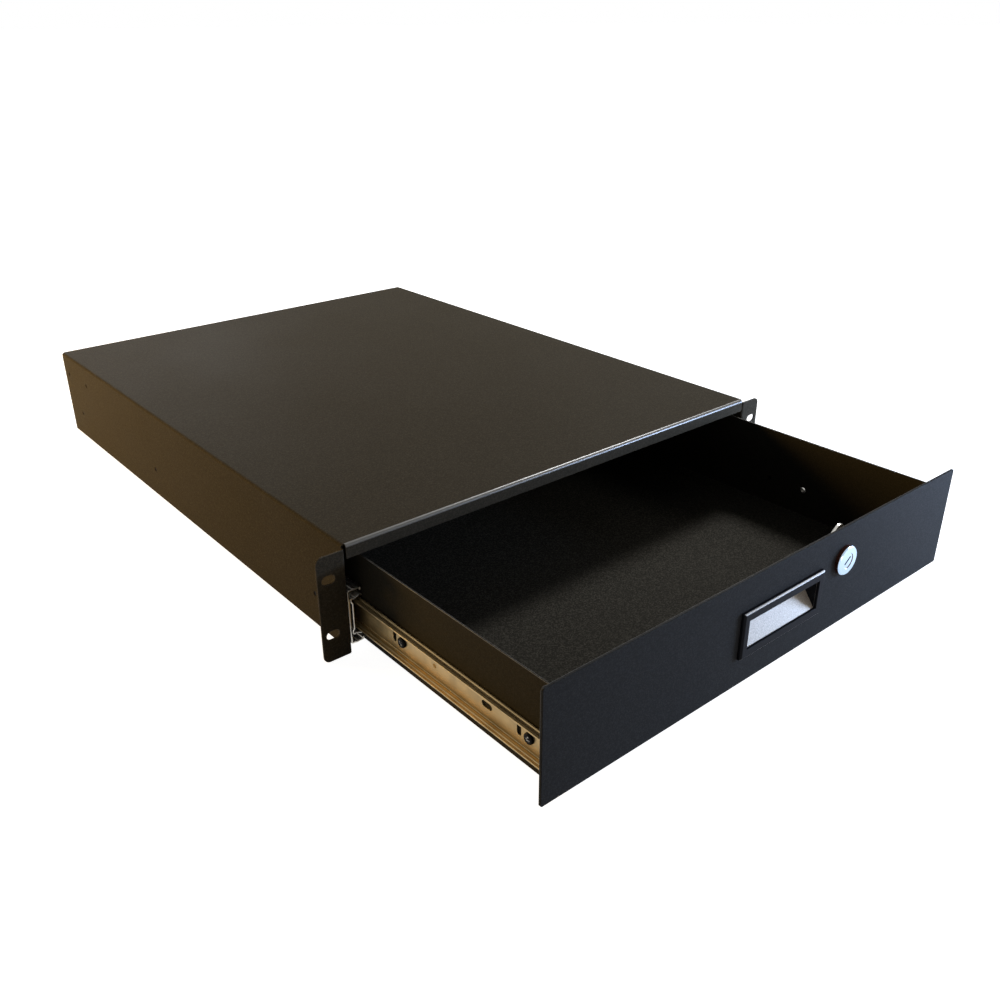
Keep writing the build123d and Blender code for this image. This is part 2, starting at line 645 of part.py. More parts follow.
def pull_bezel():
    outline = Rectangle(PULL_WIDTH, PULL_HEIGHT)
    frame = extrude(facing_front(0, panel_front, pull_z) * outline, amount=PULL_PROUD)
    frame = chamfer(frame.faces().sort_by(Axis.Y)[0].edges(), length=PULL_BEVEL)
    opening = Pos(0, pull_z) * Rectangle(PULL_OPENING_WIDTH, PULL_OPENING_HEIGHT)
    frame -= through([opening], panel_front - 2 * PULL_PROUD, panel_front)
    seat = CUP_WALL + CUP_RIM + PULL_CLEARANCE
    rebate = Pos(0, pull_z) * Rectangle(PULL_OPENING_WIDTH + 2 * seat, PULL_OPENING_HEIGHT + 2 * seat)
    return frame - through([rebate], panel_front - CUP_RIM_THICK, panel_front)


# Lock

def lock_disc(radius, y_start, y_end):
    """A round bar on the lock's axis."""
    return extrude(facing_front(LOCK_X, y_end, LOCK_Z) * Circle(radius), amount=y_end - y_start)


def lock_body():
    head = lock_disc(LOCK_HEAD_RADIUS, panel_front - LOCK_HEAD_PROUD, panel_front)
    head = chamfer(head.faces().sort_by(Axis.Y)[0].edges(), length=LOCK_HEAD_CHAMFER)
    rear = cam_front - CAM_CLEARANCE
    flats = Circle(LOCK_BODY_RADIUS) & Rectangle(LOCK_BODY_FLATS, 3 * LOCK_BODY_RADIUS)
    barrel = extrude(facing_front(LOCK_X, rear, LOCK_Z) * flats, amount=rear - panel_front)
    bore = lock_disc(PLUG_RADIUS + PLUG_CLEARANCE, panel_front - 2 * LOCK_HEAD_PROUD, rear)
    return head + barrel - bore


def lock_nut():
    rear = tray_front_inside + LOCK_NUT_THICK
    hexagon = RegularPolygon(LOCK_NUT_ACROSS / 2, 6, major_radius=False)
    nut = extrude(facing_front(LOCK_X, rear, LOCK_Z) * hexagon, amount=LOCK_NUT_THICK)
    return nut - lock_disc(LOCK_BODY_RADIUS + SHANK_CLEARANCE, tray_front_inside, rear)


def turned(shape):
    """Turn a shape drawn with the cam straight up to the cam's resting angle."""
    return shape.rotate(Axis((LOCK_X, 0, LOCK_Z), (0, 1, 0)), CAM_REST_ANGLE)


def lock_plug():
    """Turning cylinder with a keyway in front and a square for the cam behind."""
    face = panel_front - LOCK_HEAD_PROUD + PLUG_RECESS
    plug = lock_disc(PLUG_RADIUS, face, cam_front)
    square = Rectangle(CAM_SQUARE - 2 * CAM_CLEARANCE, CAM_SQUARE - 2 * CAM_CLEARANCE)
    cam_rear = cam_front + CAM_SHEET
    plug += extrude(facing_front(LOCK_X, cam_rear, LOCK_Z) * square, amount=CAM_SHEET)
    key_end = face + KEYWAY_DEPTH
    plug -= extrude(facing_front(LOCK_X, key_end, LOCK_Z) * Rectangle(*KEYWAY), amount=KEYWAY_DEPTH)
    plug -= lock_disc(CAM_SCREW_RADIUS + CAM_CLEARANCE, cam_rear - CAM_SCREW_DEPTH, cam_rear)
    return turned(plug)


def lock_cam():
    """Flat arm with a rounded tip, on the square of the plug."""
    tip_height = CAM_REACH - CAM_TIP_RADIUS
    outline = Circle(CAM_HUB_RADIUS) + Pos(0, tip_height) * Circle(CAM_TIP_RADIUS)
    outline += Pos(0, tip_height / 2) * Rectangle(2 * CAM_TIP_RADIUS, tip_height)
    outline -= Rectangle(CAM_SQUARE, CAM_SQUARE)
    return turned(extrude(facing_front(LOCK_X, cam_front + CAM_SHEET, LOCK_Z) * outline, amount=CAM_SHEET))


def cam_screw():
    length = CAM_SCREW_DEPTH - CAM_CLEARANCE
    pin = headed_pin(CAM_SCREW_RADIUS, length, CAM_HEAD_RADIUS, CAM_HEAD_THICK)
    seat = Plane(origin=(LOCK_X, cam_front + CAM_SHEET, LOCK_Z), x_dir=(1, 0, 0), z_dir=(0, 1, 0))
    return turned(seat * pin)


def sided(name, shape):
    """Write the left-hand node and its mirror image as the right-hand one."""
    shapes = shape if isinstance(shape, list) else [shape]
    save(f"left_{name}", shapes)
    save(f"right_{name}", [mirror(piece, about=Plane.YZ) for piece in shapes])


def grouped(name, left_shapes):
    """Write one node that holds the left-hand shapes and their mirror images."""
    save(name, [solid for shape in left_shapes for solid in both_sides(shape)])


def build():
    os.makedirs("parts", exist_ok=True)
    save("case_shell", [case_shell()])
    save("rear_panel", [rear_panel()])
    save("rear_panel_rivets", [solid for pair in rear_panel_rivets() for solid in pair])
    save("lock_strike", [lock_strike()])
    sided("outer_rail", outer_rail())
    grouped("outer_rail_screws", outer_rail_screws())
    grouped("rail_bumpers", [rail_bumper()])
    sided("middle_rail", middle_rail())
    sided("outer_cage", outer_cage())
    grouped("outer_cage_balls",
            ball_row(rail_front + CAGE_SHUT, OUTER_BALL_COUNT, OUTER_BALL, OUTER_BALL_U, outer_ball_w))
    sided("inner_cage", inner_cage())
    grouped("inner_cage_balls",
            ball_row(rail_front + CAGE_SHUT - OPEN_AT_REST / 2, INNER_BALL_COUNT, INNER_BALL,
                     INNER_BALL_U, inner_ball_w))
    sided("inner_rail", inner_rail())
    grouped("inner_rail_screws", inner_rail_screws())
    grouped("tray_rivets", tray_rivets())
    save("drawer_tray", [drawer_tray()])
    save("front_panel", [front_panel()])
    save("panel_studs", panel_studs())
    save("panel_nuts", panel_nuts())
    save("pull_bezel", [pull_bezel()])
    save("pull_cup", [pull_cup()])
    save("lock_body", [lock_body()])
    save("lock_nut", [lock_nut()])
    save("lock_plug", [lock_plug()])
    save("lock_cam", [lock_cam()])
    save("cam_screw", [cam_screw()])


build()
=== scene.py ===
"""Sliding rack drawer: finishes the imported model's pieces and sets up its stage."""
import json
import math

import bmesh
import bpy
from bpy.props import FloatProperty, FloatVectorProperty, IntProperty, PointerProperty
from mathutils import Matrix, Vector

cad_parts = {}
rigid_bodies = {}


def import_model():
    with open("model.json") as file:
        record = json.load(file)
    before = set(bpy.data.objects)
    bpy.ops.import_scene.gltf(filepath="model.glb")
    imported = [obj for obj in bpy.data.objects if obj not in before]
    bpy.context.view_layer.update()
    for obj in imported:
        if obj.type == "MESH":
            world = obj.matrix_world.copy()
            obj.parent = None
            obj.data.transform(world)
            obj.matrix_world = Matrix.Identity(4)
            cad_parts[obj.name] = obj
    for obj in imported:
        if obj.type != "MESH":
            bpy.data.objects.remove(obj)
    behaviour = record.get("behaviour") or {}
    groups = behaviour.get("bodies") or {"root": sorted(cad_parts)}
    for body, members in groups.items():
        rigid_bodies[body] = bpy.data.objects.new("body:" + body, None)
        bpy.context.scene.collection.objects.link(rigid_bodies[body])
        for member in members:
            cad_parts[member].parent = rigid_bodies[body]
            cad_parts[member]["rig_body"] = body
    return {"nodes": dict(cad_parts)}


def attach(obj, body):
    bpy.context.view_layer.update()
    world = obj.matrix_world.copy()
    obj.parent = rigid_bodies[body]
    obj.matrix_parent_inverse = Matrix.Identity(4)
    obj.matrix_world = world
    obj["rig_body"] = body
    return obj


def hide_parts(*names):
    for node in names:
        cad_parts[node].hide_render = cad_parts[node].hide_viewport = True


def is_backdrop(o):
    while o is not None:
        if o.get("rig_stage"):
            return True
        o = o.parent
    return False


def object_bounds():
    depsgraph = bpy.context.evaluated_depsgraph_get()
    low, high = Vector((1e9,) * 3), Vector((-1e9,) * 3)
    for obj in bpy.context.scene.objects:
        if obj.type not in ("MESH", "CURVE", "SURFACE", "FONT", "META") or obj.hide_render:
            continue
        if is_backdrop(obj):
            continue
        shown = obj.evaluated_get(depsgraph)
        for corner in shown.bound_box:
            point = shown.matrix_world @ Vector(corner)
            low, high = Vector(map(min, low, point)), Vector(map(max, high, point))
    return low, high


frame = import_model()

bl_info = {
    "name": "Sliding Rack Drawer",
    "version": (1, 0, 0),
    "blender": (4, 5, 0),
    "location": "3D View > Sidebar > Rack Drawer",
    "description": "Dresses a two-unit rack drawer with its finishes, fasteners and stage",
    "category": "Object",
}

MM = 0.001
MERGE_DISTANCE = 0.002 * MM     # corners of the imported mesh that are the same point
SEAM = 0.001 * MM               # corners of a turned shape that close on each other
FLAT_ANGLE = math.radians(0.4)  # facets that belong to one flat face
SHARP_ANGLE = math.radians(28)  # edges that a press or saw leaves, not steps of a curve
FOLD_LIMIT = 0.002              # how far the normal of a flat face may lean
LEAST_FOLD = 20 * MM            # a fold is at least this wide, which leaves out the walls of holes
LEAST_LENGTH = 1.5              # an edge shorter than this many softenings stays sharp
COAT_CLOUD = 90.0               # millimetres over which the shine of a powder coat drifts
RAIL_CLOUD = 14.0               # millimetres over which the tone of a rail's zinc drifts
RAIL_STREAK = 0.5               # width in millimetres of the streaks on a rail
ALONG_RAIL = (1, 0.02, 1)       # draws the streaks out along the rail
PLATE_CLOUD = 6.0               # millimetres over which the tone of bright plate drifts
FASTENER_CLOUD = 1.5            # the same on a fastener's head
CUP_GRAIN = 0.9                 # millimetres from grain to grain in the finger cup
WOUND_RIDGE = 0.55              # radius of a thread's ridge, as a share of the thread's depth
PLAIN_TURNS = 1.4               # turns at the ends of a stud that stay without thread
FIRST_TURN = 0.9                # where the thread starts, in turns from the foot of the stud
RECESS_SHARE = 0.45             # faces within this share of the recess's reach may get the painted glint
RECESS_TOP = -0.05 * MM         # faces below this height are in the recess
DEEPEST_RECESS = 0.7            # most of a head's height that its recess takes
SENSOR_WIDTH = 36.0             # millimetres
NEAREST_SEEN = 0.01             # metres from the camera
AIR_LIGHT = 0.05                # light that comes from all round
BACKDROP = 1.0                  # white that the camera and reflections see all round
FLOOR_GLOW = 0.96               # lifts the floor that they see to the same white
FLOOR_REACH = 40.0              # metres from the middle of the floor to each side
WHITE = (1, 1, 1, 1)


# Colours

def linear(code):
    """Turn an sRGB hex colour into Blender's linear values."""
    values = [int(code[place:place + 2], 16) / 255 for place in (1, 3, 5)]
    return tuple(v / 12.92 if v <= 0.04045 else ((v + 0.055) / 1.055) ** 2.4 for v in values)


def colour_property(name, description, code):
    return FloatVectorProperty(name=name, description=description, subtype="COLOR",
                               min=0.0, max=1.0, default=linear(code))


def length_property(name, description, millimetres):
    return FloatProperty(name=name, description=description, subtype="DISTANCE", unit="LENGTH",
                         min=0.0, default=millimetres * MM, precision=5)


class RackDrawerSizes(bpy.types.PropertyGroup):
    """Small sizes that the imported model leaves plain."""

    sheet_edge: length_property("Sheet Edge", "Softening of the folded sheets' cut edges", 0.22)
    rail_edge: length_property("Rail Edge", "Softening of the rails' rolled edges", 0.12)
    fine_edge: length_property("Fine Edge", "Softening of cages and lock parts", 0.08)
    moulded_edge: length_property("Moulded Edge", "Softening of the moulded pull", 0.35)
    recess_width: length_property("Recess Width", "Width of each arm of a screw's cross recess", 1.2)
    recess_reach: length_property("Recess Reach", "Length of the arms of a screw's cross recess", 4.2)
    recess_depth: length_property("Recess Depth", "Depth of a screw's cross recess", 0.6)
    thread_pitch: length_property("Thread Pitch", "Pitch of the thread on the weld studs", 0.7)
    thread_depth: length_property("Thread Depth", "Depth of the thread on the weld studs", 0.3)
    seed: IntProperty(name="Seed", description="Chooses how far each screw is turned", default=4, min=0)


class RackDrawerFinishes(bpy.types.PropertyGroup):
    """Colours of the finishes."""

    case_coat: colour_property("Case Coat", "Powder coat of the case", "#38342c")
    tray_coat: colour_property("Tray Coat", "Powder coat of the tray", "#32302b")
    panel_coat: colour_property("Panel Coat", "Powder coat of the front panel", "#28292a")
    rail_zinc: colour_property("Rail Zinc", "Clear zinc of the outer and middle rails", "#b9b5ad")
    # Its yellow tone is partly the inner rails' own yellow zinc and partly a painted reflection of warm
    # light.
    warm_zinc: colour_property("Warm Zinc", "Yellow zinc of the inner rails, tinted further as a painted warm reflection", "#a08c66")
    plain_zinc: colour_property("Plain Zinc", "Bright zinc of nuts, cam and cages", "#bdbbb6")
    chrome: colour_property("Chrome", "Plated lock head", "#b4cbe0")
    # Painted reflection: this dark warm tone on the side of the lock head stands in for a dark reflection
    # in the chrome.
    lock_side_painted_reflection: colour_property("Lock Side", "Painted dark reflection on the side of the lock head", "#7a4c40")
    black_zinc: colour_property("Black Zinc", "Black screws and rivets", "#080706")
    pull_black: colour_property("Pull Black", "Moulded bezel of the pull", "#1d1e21")
    cup_silver: colour_property("Cup Silver", "Textured coat of the finger cup", "#948e84")
    rubber: colour_property("Rubber", "Bumpers at the rear of the slides", "#151515")
    floor: colour_property("Floor", "Pale studio floor", "#c4c4c4")


class RackDrawerStage(bpy.types.PropertyGroup):
    """Camera and lamps."""

    camera_place: FloatVectorProperty(
        name="Camera Place", description="Where the camera stands", subtype="TRANSLATION", unit="LENGTH",
        default=(-0.51575, -0.52146, 0.36818))
    camera_heading: FloatProperty(
        name="Camera Heading", description="Turn from +Y towards +X", subtype="ANGLE", default=0.6981)
    camera_dip: FloatProperty(
        name="Camera Dip", description="Tilt below the horizon", subtype="ANGLE", default=0.4569)
    camera_roll: FloatProperty(
        name="Camera Roll", description="Turn about the line of sight", subtype="ANGLE", default=-0.0033)
    focal_length: FloatProperty(
        name="Focal Length", description="Lens on a 36 mm sensor", unit="CAMERA", default=35.535)


# Materials

def add_node(tree, kind, values=(), links=(), **settings):
    """Add a node with its settings, the values of its inputs and the outputs linked to them."""
    node = tree.nodes.new(kind)
    for setting, value in settings.items():
        setattr(node, setting, value)
    for socket, value in dict(values).items():
        node.inputs[socket].default_value = value
    for socket, output in dict(links).items():
        tree.links.new(output, node.inputs[socket])
    return node


def new_material(name, **shader_values):
    """Make a material with one Principled shader, whose constants are set on its own sockets."""
    material = bpy.data.materials.new(name)
    material.use_nodes = True
    tree = material.node_tree
    tree.nodes.clear()
    shader = add_node(tree, "ShaderNodeBsdfPrincipled")
    for socket, value in shader_values.items():
        shader.inputs[socket.replace("_", " ")].default_value = value
    add_node(tree, "ShaderNodeOutputMaterial", links={"Surface": shader.outputs["BSDF"]})
    return material, tree, shader


def object_places(tree, stretch=(1, 1, 1)):
    """Object coordinates in metres, squeezed by the given factors."""
    coordinates = add_node(tree, "ShaderNodeTexCoord")
    return add_node(tree, "ShaderNodeMapping", {"Scale": stretch},
                    {"Vector": coordinates.outputs["Object"]}).outputs["Vector"]


def per_metre(millimetres):
    """Texture scale that gives features of this size."""
    return 1 / (millimetres * MM)


def rgba(colour, lift=1.0):
    """Colour with its alpha, made lighter or darker by a factor."""
    return (*[min(1.0, value * lift) for value in colour], 1.0)


def noise(tree, places, size, detail=2.0, rough=0.5):
    """Soft noise with features of a size in millimetres."""
    return add_node(tree, "ShaderNodeTexNoise",
                    {"Scale": per_metre(size), "Detail": detail, "Roughness": rough},
                    {"Vector": places}).outputs["Fac"]


def shades(tree, share, colour, dark, light, start=0.0, end=1.0):
    """Blend from a darker to a lighter shade of a colour."""
    ramp = add_node(tree, "ShaderNodeValToRGB", links={"Fac": share})
    for element, position, lift in zip(ramp.color_ramp.elements, (start, end), (dark, light)):
        element.position = position
        element.color = rgba(colour, lift)
    return ramp.outputs["Color"]


def between(tree, share, low, high):
    """Spread a share over a range."""
    return add_node(tree, "ShaderNodeMapRange", {"To Min": low, "To Max": high},
                    {"Value": share}).outputs["Result"]


def relief_from(tree, height, strength, depth):
    """Normals of a surface whose height varies by a depth in millimetres."""
    return add_node(tree, "ShaderNodeBump", {"Strength": strength, "Distance": depth * MM},
                    {"Height": height}).outputs["Normal"]


def feed(tree, shader, **outputs):
    """Link outputs to the shader's sockets of the same names."""
    for socket, output in outputs.items():
        tree.links.new(output, shader.inputs[socket.replace("_", " ")])


def powder_coat(name, colour, grit, fleck, relief, roughness, gloss):
    """Baked polyester powder on sheet steel: grains of slightly different tone break up a dull shine."""
    material, tree, shader = new_material(name, Specular_IOR_Level=gloss)
    places = object_places(tree)
    grains = add_node(tree, "ShaderNodeTexVoronoi", {"Scale": per_metre(grit)}, {"Vector": places})
    tone = add_node(tree, "ShaderNodeSeparateColor", links={"Color": grains.outputs["Color"]}).outputs[0]
    cloud = noise(tree, places, COAT_CLOUD, detail=1.0)
    feed(tree, shader,
         Base_Color=shades(tree, tone, colour, 0.85, fleck, start=0.4),
         Roughness=between(tree, cloud, roughness - 0.05, roughness + 0.05),
         Normal=relief_from(tree, noise(tree, places, grit), relief, 0.05))
    return material


def drawn_zinc(name, colour, roughness):
    """Zinc plate on cold-rolled strip: soft shine with faint streaks along the rail."""
    material, tree, shader = new_material(name, Metallic=1.0)
    streaks = noise(tree, object_places(tree, ALONG_RAIL), RAIL_STREAK)
    cloud = noise(tree, object_places(tree), RAIL_CLOUD, detail=3.0)
    feed(tree, shader,
         Base_Color=shades(tree, cloud, colour, 0.8, 1.12, start=0.3, end=0.7),
         Roughness=between(tree, streaks, roughness - 0.06, roughness + 0.08),
         Normal=relief_from(tree, streaks, 0.06, 0.03))
    return material


def plated(name, colour, roughness):
    """Bright plate over polished metal."""
    material, tree, shader = new_material(name, Metallic=1.0)
    cloud = noise(tree, object_places(tree), PLATE_CLOUD)
    feed(tree, shader,
         Base_Color=shades(tree, cloud, colour, 0.92, 1.05),
         Roughness=between(tree, cloud, roughness * 0.8, roughness * 1.2))
    return material


def two_tone(name, colour, bare_and_glint_colour):
    """Plated fastener: its plate, and brighter metal where the attribute marks it: unplated zinc on a
    rivet's head, and in a screw's recess a painted glint that stands in for a highlight.
    """
    material, tree, shader = new_material(name, Roughness=0.32, Specular_IOR_Level=0.04)
    bare_and_painted_glint = add_node(tree, "ShaderNodeAttribute", attribute_name="bare_and_painted_glint").outputs["Fac"]
    plate = shades(tree, noise(tree, object_places(tree), FASTENER_CLOUD), colour, 0.8, 1.3)
    mix = add_node(tree, "ShaderNodeMix", {7: rgba(bare_and_glint_colour)}, {0: bare_and_painted_glint, 6: plate}, data_type="RGBA")
    feed(tree, shader, Base_Color=mix.outputs[2], Metallic=bare_and_painted_glint)
    return material


def fine_grained(name, colour, roughness, grit, relief, gloss=0.5):
    """Polymer, rubber or paint whose fine grain breaks up its shine."""
    material, tree, shader = new_material(name, Specular_IOR_Level=gloss)
    grains = noise(tree, object_places(tree), grit)
    feed(tree, shader,
         Base_Color=shades(tree, grains, colour, 0.85, 1.15),
         Roughness=between(tree, grains, roughness - 0.04, roughness + 0.04),
         Normal=relief_from(tree, grains, relief, 0.05))
    return material


def silver_texture(name, colour):
    """Silver-grey paint with coarse texture, as sprayed in the finger cup."""
    material, tree, shader = new_material(name, Metallic=0.25)
    grains = noise(tree, object_places(tree), CUP_GRAIN, detail=3.0, rough=0.7)
    feed(tree, shader,
         Base_Color=shades(tree, grains, colour, 0.65, 1.2, start=0.35, end=0.65),
         Roughness=between(tree, grains, 0.4, 0.6),
         Normal=relief_from(tree, grains, 0.5, 0.1))
    return material


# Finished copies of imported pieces


def merged_work(node):
    """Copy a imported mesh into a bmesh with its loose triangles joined."""
    work = bmesh.new()
    work.from_mesh(frame["nodes"][node].data)
    bmesh.ops.remove_doubles(work, verts=work.verts, dist=MERGE_DISTANCE)
    return work


def place_piece(name, mesh, node):
    """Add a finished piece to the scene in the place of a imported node."""
    piece = bpy.data.objects.new(name, mesh)
    bpy.context.scene.collection.objects.link(piece)
    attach(piece, frame["nodes"][node]["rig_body"])
    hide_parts(node)
    return piece


def is_level_fold(face):
    """Part of a bend that runs from side to side, such as the one over the front lip."""
    across = [vertex.co.x for vertex in face.verts]
    slanted = max(abs(face.normal.y), abs(face.normal.z)) < 1 - FOLD_LIMIT
    return abs(face.normal.x) < FOLD_LIMIT and slanted and max(across) - min(across) > LEAST_FOLD


def is_end_wall(face):
    """Flat face that looks straight to the left or to the right."""
    return abs(face.normal.x) > 1 - FOLD_LIMIT


def is_lock_side(face):
    """The turned side of the lock's head, between its chamfer and the panel, which gets a painted dark
    reflection.
    """
    return abs(face.normal.y) < FOLD_LIMIT


def finished_copy(node, finish, edge, cut_finish=None, chosen=None, chosen_finish=None):
    """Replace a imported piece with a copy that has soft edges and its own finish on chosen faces."""
    work = merged_work(node)
    bmesh.ops.dissolve_limit(work, angle_limit=FLAT_ANGLE, verts=work.verts, edges=work.edges)
    for face in work.faces:
        face.smooth = True
        face.material_index = 2 if chosen and chosen(face) else 0
    softened = work.edges.layers.float.new("bevel_weight_edge")
    for line in work.edges:
        long_enough = line.calc_length() > LEAST_LENGTH * edge
        line[softened] = line.calc_face_angle(0) > SHARP_ANGLE and long_enough
    mesh = bpy.data.meshes.new(node)
    work.to_mesh(mesh)
    work.free()
    for material in (finish, cut_finish or finish, chosen_finish or finish):
        mesh.materials.append(material)
    piece = place_piece(f"finished_{node}", mesh, node)
    bevel = piece.modifiers.new("Softened Edges", "BEVEL")
    bevel.width = edge
    bevel.segments = 2
    bevel.limit_method = "WEIGHT"
    bevel.use_clamp_overlap = False
    bevel.material = 1 if cut_finish else -1
    shading = piece.modifiers.new("Flat Faces", "WEIGHTED_NORMAL")
    shading.mode = "FACE_AREA"
    shading.weight = 100
    shading.keep_sharp = True
    return piece


def finish_all(nodes, finish, edge, **parts):
    """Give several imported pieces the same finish."""
    for node in nodes:
        finished_copy(node, finish, edge, **parts)


def sides_of(name):
    return [f"left_{name}", f"right_{name}"]


# Repeated pieces

def solid_boxes(node):
    """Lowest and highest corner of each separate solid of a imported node, sorted by place."""
    work = merged_work(node)
    unseen = set(work.verts)
    boxes = []
    while unseen:
        reached = [unseen.pop()]
        for vertex in reached:
            for edge in vertex.link_edges:
                neighbour = edge.other_vert(vertex)
                if neighbour in unseen:
                    unseen.remove(neighbour)
                    reached.append(neighbour)
        corners = [vertex.co for vertex in reached]
        low = Vector([min(corner[axis] for corner in corners) for axis in range(3)])
        high = Vector([max(corner[axis] for corner in corners) for axis in range(3)])
        boxes.append((low, high))
    work.free()
    return sorted(boxes, key=lambda box: tuple(box[0]))


def inwards(middle):
    return Vector((-math.copysign(1, middle.x), 0, 0))


def outwards(middle):
    return -inwards(middle)


def backwards(middle):
    return Vector((0, 1, 0))


def places_mesh(name, boxes, facing):
    """One point at the top of each solid, with the way its head faces."""
    mesh = bpy.data.meshes.new(name)
    ways = [facing((low + high) / 2) for low, high in boxes]
    tops = []
    for (low, high), way in zip(boxes, ways):
        reach = (high - low) / 2
        tops.append((low + high) / 2 + Vector([way[axis] * reach[axis] for axis in range(3)]))
    mesh.from_pydata(tops, [], [])
    attribute = mesh.attributes.new("way", "FLOAT_VECTOR", "POINT")
    attribute.data.foreach_set("vector", [value for way in ways for value in way])
    return mesh


def new_tree(name, sizes):
    """Start a Geometry Nodes tree that takes places, named sizes, a seed and a finish."""
    tree = bpy.data.node_groups.new(name, "GeometryNodeTree")
    kinds = [("Places", "NodeSocketGeometry"), *[(size, "NodeSocketFloat") for size in sizes],
             ("Seed", "NodeSocketInt"), ("Finish", "NodeSocketMaterial")]
    for label, kind in kinds:
        tree.interface.new_socket(label, in_out="INPUT", socket_type=kind)
    tree.interface.new_socket("Pieces", in_out="OUTPUT", socket_type="NodeSocketGeometry")
    return tree, add_node(tree, "NodeGroupInput").outputs


def calculate(tree, operation, first, second=0.0):
    """One sum of two values, each a number or an output."""
    given = dict(enumerate((first, second)))
    values = {place: value for place, value in given.items() if isinstance(value, (int, float))}
    links = {place: value for place, value in given.items() if place not in values}
    return add_node(tree, "ShaderNodeMath", values, links, operation=operation).outputs[0]


def vector_of(tree, **parts):
    """Vector whose X, Y and Z are the outputs given, or nothing."""
    return add_node(tree, "ShaderNodeCombineXYZ", links=parts).outputs[0]


def moved(tree, shape, way):
    """Shape shifted by a vector."""
    return add_node(tree, "GeometryNodeTransform",
                    links={"Geometry": shape, "Translation": way}).outputs[0]


def cut(tree, shape, tools):
    """Shape with others cut out of it."""
    result = add_node(tree, "GeometryNodeMeshBoolean", links={"Mesh 1": shape}, operation="DIFFERENCE")
    for tool in tools:
        tree.links.new(tool, result.inputs["Mesh 2"])
    return result.outputs[0]


def turned(tree, profile, radius, height, segments=32):
    """Turn a profile, given as shares of a radius and a height, about Z."""
    grid = add_node(tree, "GeometryNodeMeshGrid",
                    {"Vertices X": len(profile), "Vertices Y": segments + 1})
    index = add_node(tree, "GeometryNodeInputIndex").outputs[0]
    ring = calculate(tree, "FLOOR", calculate(tree, "DIVIDE", index, segments + 1))
    step = calculate(tree, "MODULO", index, segments + 1)
    angle = calculate(tree, "MULTIPLY", step, math.tau / segments)
    shares = add_node(tree, "GeometryNodeIndexSwitch", data_type="VECTOR")
    while len(shares.index_switch_items) < len(profile):
        shares.index_switch_items.new()
    for place, (radius_share, height_share) in enumerate(profile):
        shares.inputs[place + 1].default_value = (radius_share, height_share, 0)
    tree.links.new(ring, shares.inputs["Index"])
    share = add_node(tree, "ShaderNodeSeparateXYZ", links={0: shares.outputs[0]}).outputs
    out = calculate(tree, "MULTIPLY", share["X"], radius)
    up = calculate(tree, "MULTIPLY", share["Y"], height)
    across = calculate(tree, "MULTIPLY", out, calculate(tree, "COSINE", angle))
    along = calculate(tree, "MULTIPLY", out, calculate(tree, "SINE", angle))
    wrapped = add_node(tree, "GeometryNodeSetPosition",
                       links={"Geometry": grid.outputs["Mesh"],
                              "Position": vector_of(tree, X=across, Y=along, Z=up)})
    return add_node(tree, "GeometryNodeMergeByDistance", {"Distance": SEAM},
                    {"Geometry": wrapped.outputs[0]}).outputs[0]


def bar(tree, radius, length, top, vertices=24):
    """A round or many-sided bar that hangs down from a height."""
    rod = add_node(tree, "GeometryNodeMeshCylinder", {"Vertices": vertices},
                   {"Radius": radius, "Depth": length}).outputs["Mesh"]
    middle = calculate(tree, "SUBTRACT", top, calculate(tree, "MULTIPLY", length, 0.5))
    return moved(tree, rod, vector_of(tree, Z=middle))


def joined(tree, *shapes):
    """Several shapes as one."""
    join = add_node(tree, "GeometryNodeJoinGeometry")
    for shape in shapes:
        tree.links.new(shape, join.inputs[0])
    return join.outputs[0]


def finish_tree(tree, given, shape):
    """Shade a shape, stand a copy on each place, turned by chance about its axis, and end the tree."""
    smooth = add_node(tree, "GeometryNodeSetShadeSmooth", links={"Geometry": shape}).outputs[0]
    angle = add_node(tree, "GeometryNodeInputMeshEdgeAngle").outputs["Unsigned Angle"]
    sharp = add_node(tree, "FunctionNodeCompare", {1: SHARP_ANGLE}, {0: angle}, operation="GREATER_THAN")
    shaded = add_node(tree, "GeometryNodeSetShadeSmooth", {"Shade Smooth": False},
                      {"Geometry": smooth, "Selection": sharp.outputs[0]}, domain="EDGE").outputs[0]
    way = add_node(tree, "GeometryNodeInputNamedAttribute", {"Name": "way"},
                   data_type="FLOAT_VECTOR").outputs[0]
    facing = add_node(tree, "FunctionNodeAlignRotationToVector", links={"Vector": way}, axis="Z").outputs[0]
    chance = add_node(tree, "FunctionNodeRandomValue", {2: 0.0, 3: math.tau}, {"Seed": given["Seed"]},
                      data_type="FLOAT").outputs[1]
    spin = add_node(tree, "FunctionNodeAxisAngleToRotation", {"Axis": (0, 0, 1)},
                    {"Angle": chance}).outputs[0]
    turn = add_node(tree, "FunctionNodeRotateRotation", links={"Rotation": facing, "Rotate By": spin},
                    rotation_space="LOCAL").outputs[0]
    copies = add_node(tree, "GeometryNodeInstanceOnPoints",
                      links={"Points": given["Places"], "Instance": shaded, "Rotation": turn})
    real = add_node(tree, "GeometryNodeRealizeInstances", links={"Geometry": copies.outputs[0]})
    finish = add_node(tree, "GeometryNodeSetMaterial",
                      links={"Geometry": real.outputs[0], "Material": given["Finish"]})
    add_node(tree, "NodeGroupOutput", links={"Pieces": finish.outputs[0]})
    return tree


def marked_bare_and_glint(tree, shape, **share):
    """Note on a shape's faces, or only where an output says so, that they take brighter metal: unplated
    zinc on a rivet's head, a painted glint in a screw's recess.
    """
    return add_node(tree, "GeometryNodeStoreNamedAttribute", {"Name": "bare_and_painted_glint", "Value": 1.0},
                    {"Geometry": shape, **share}, data_type="FLOAT", domain="FACE").outputs[0]


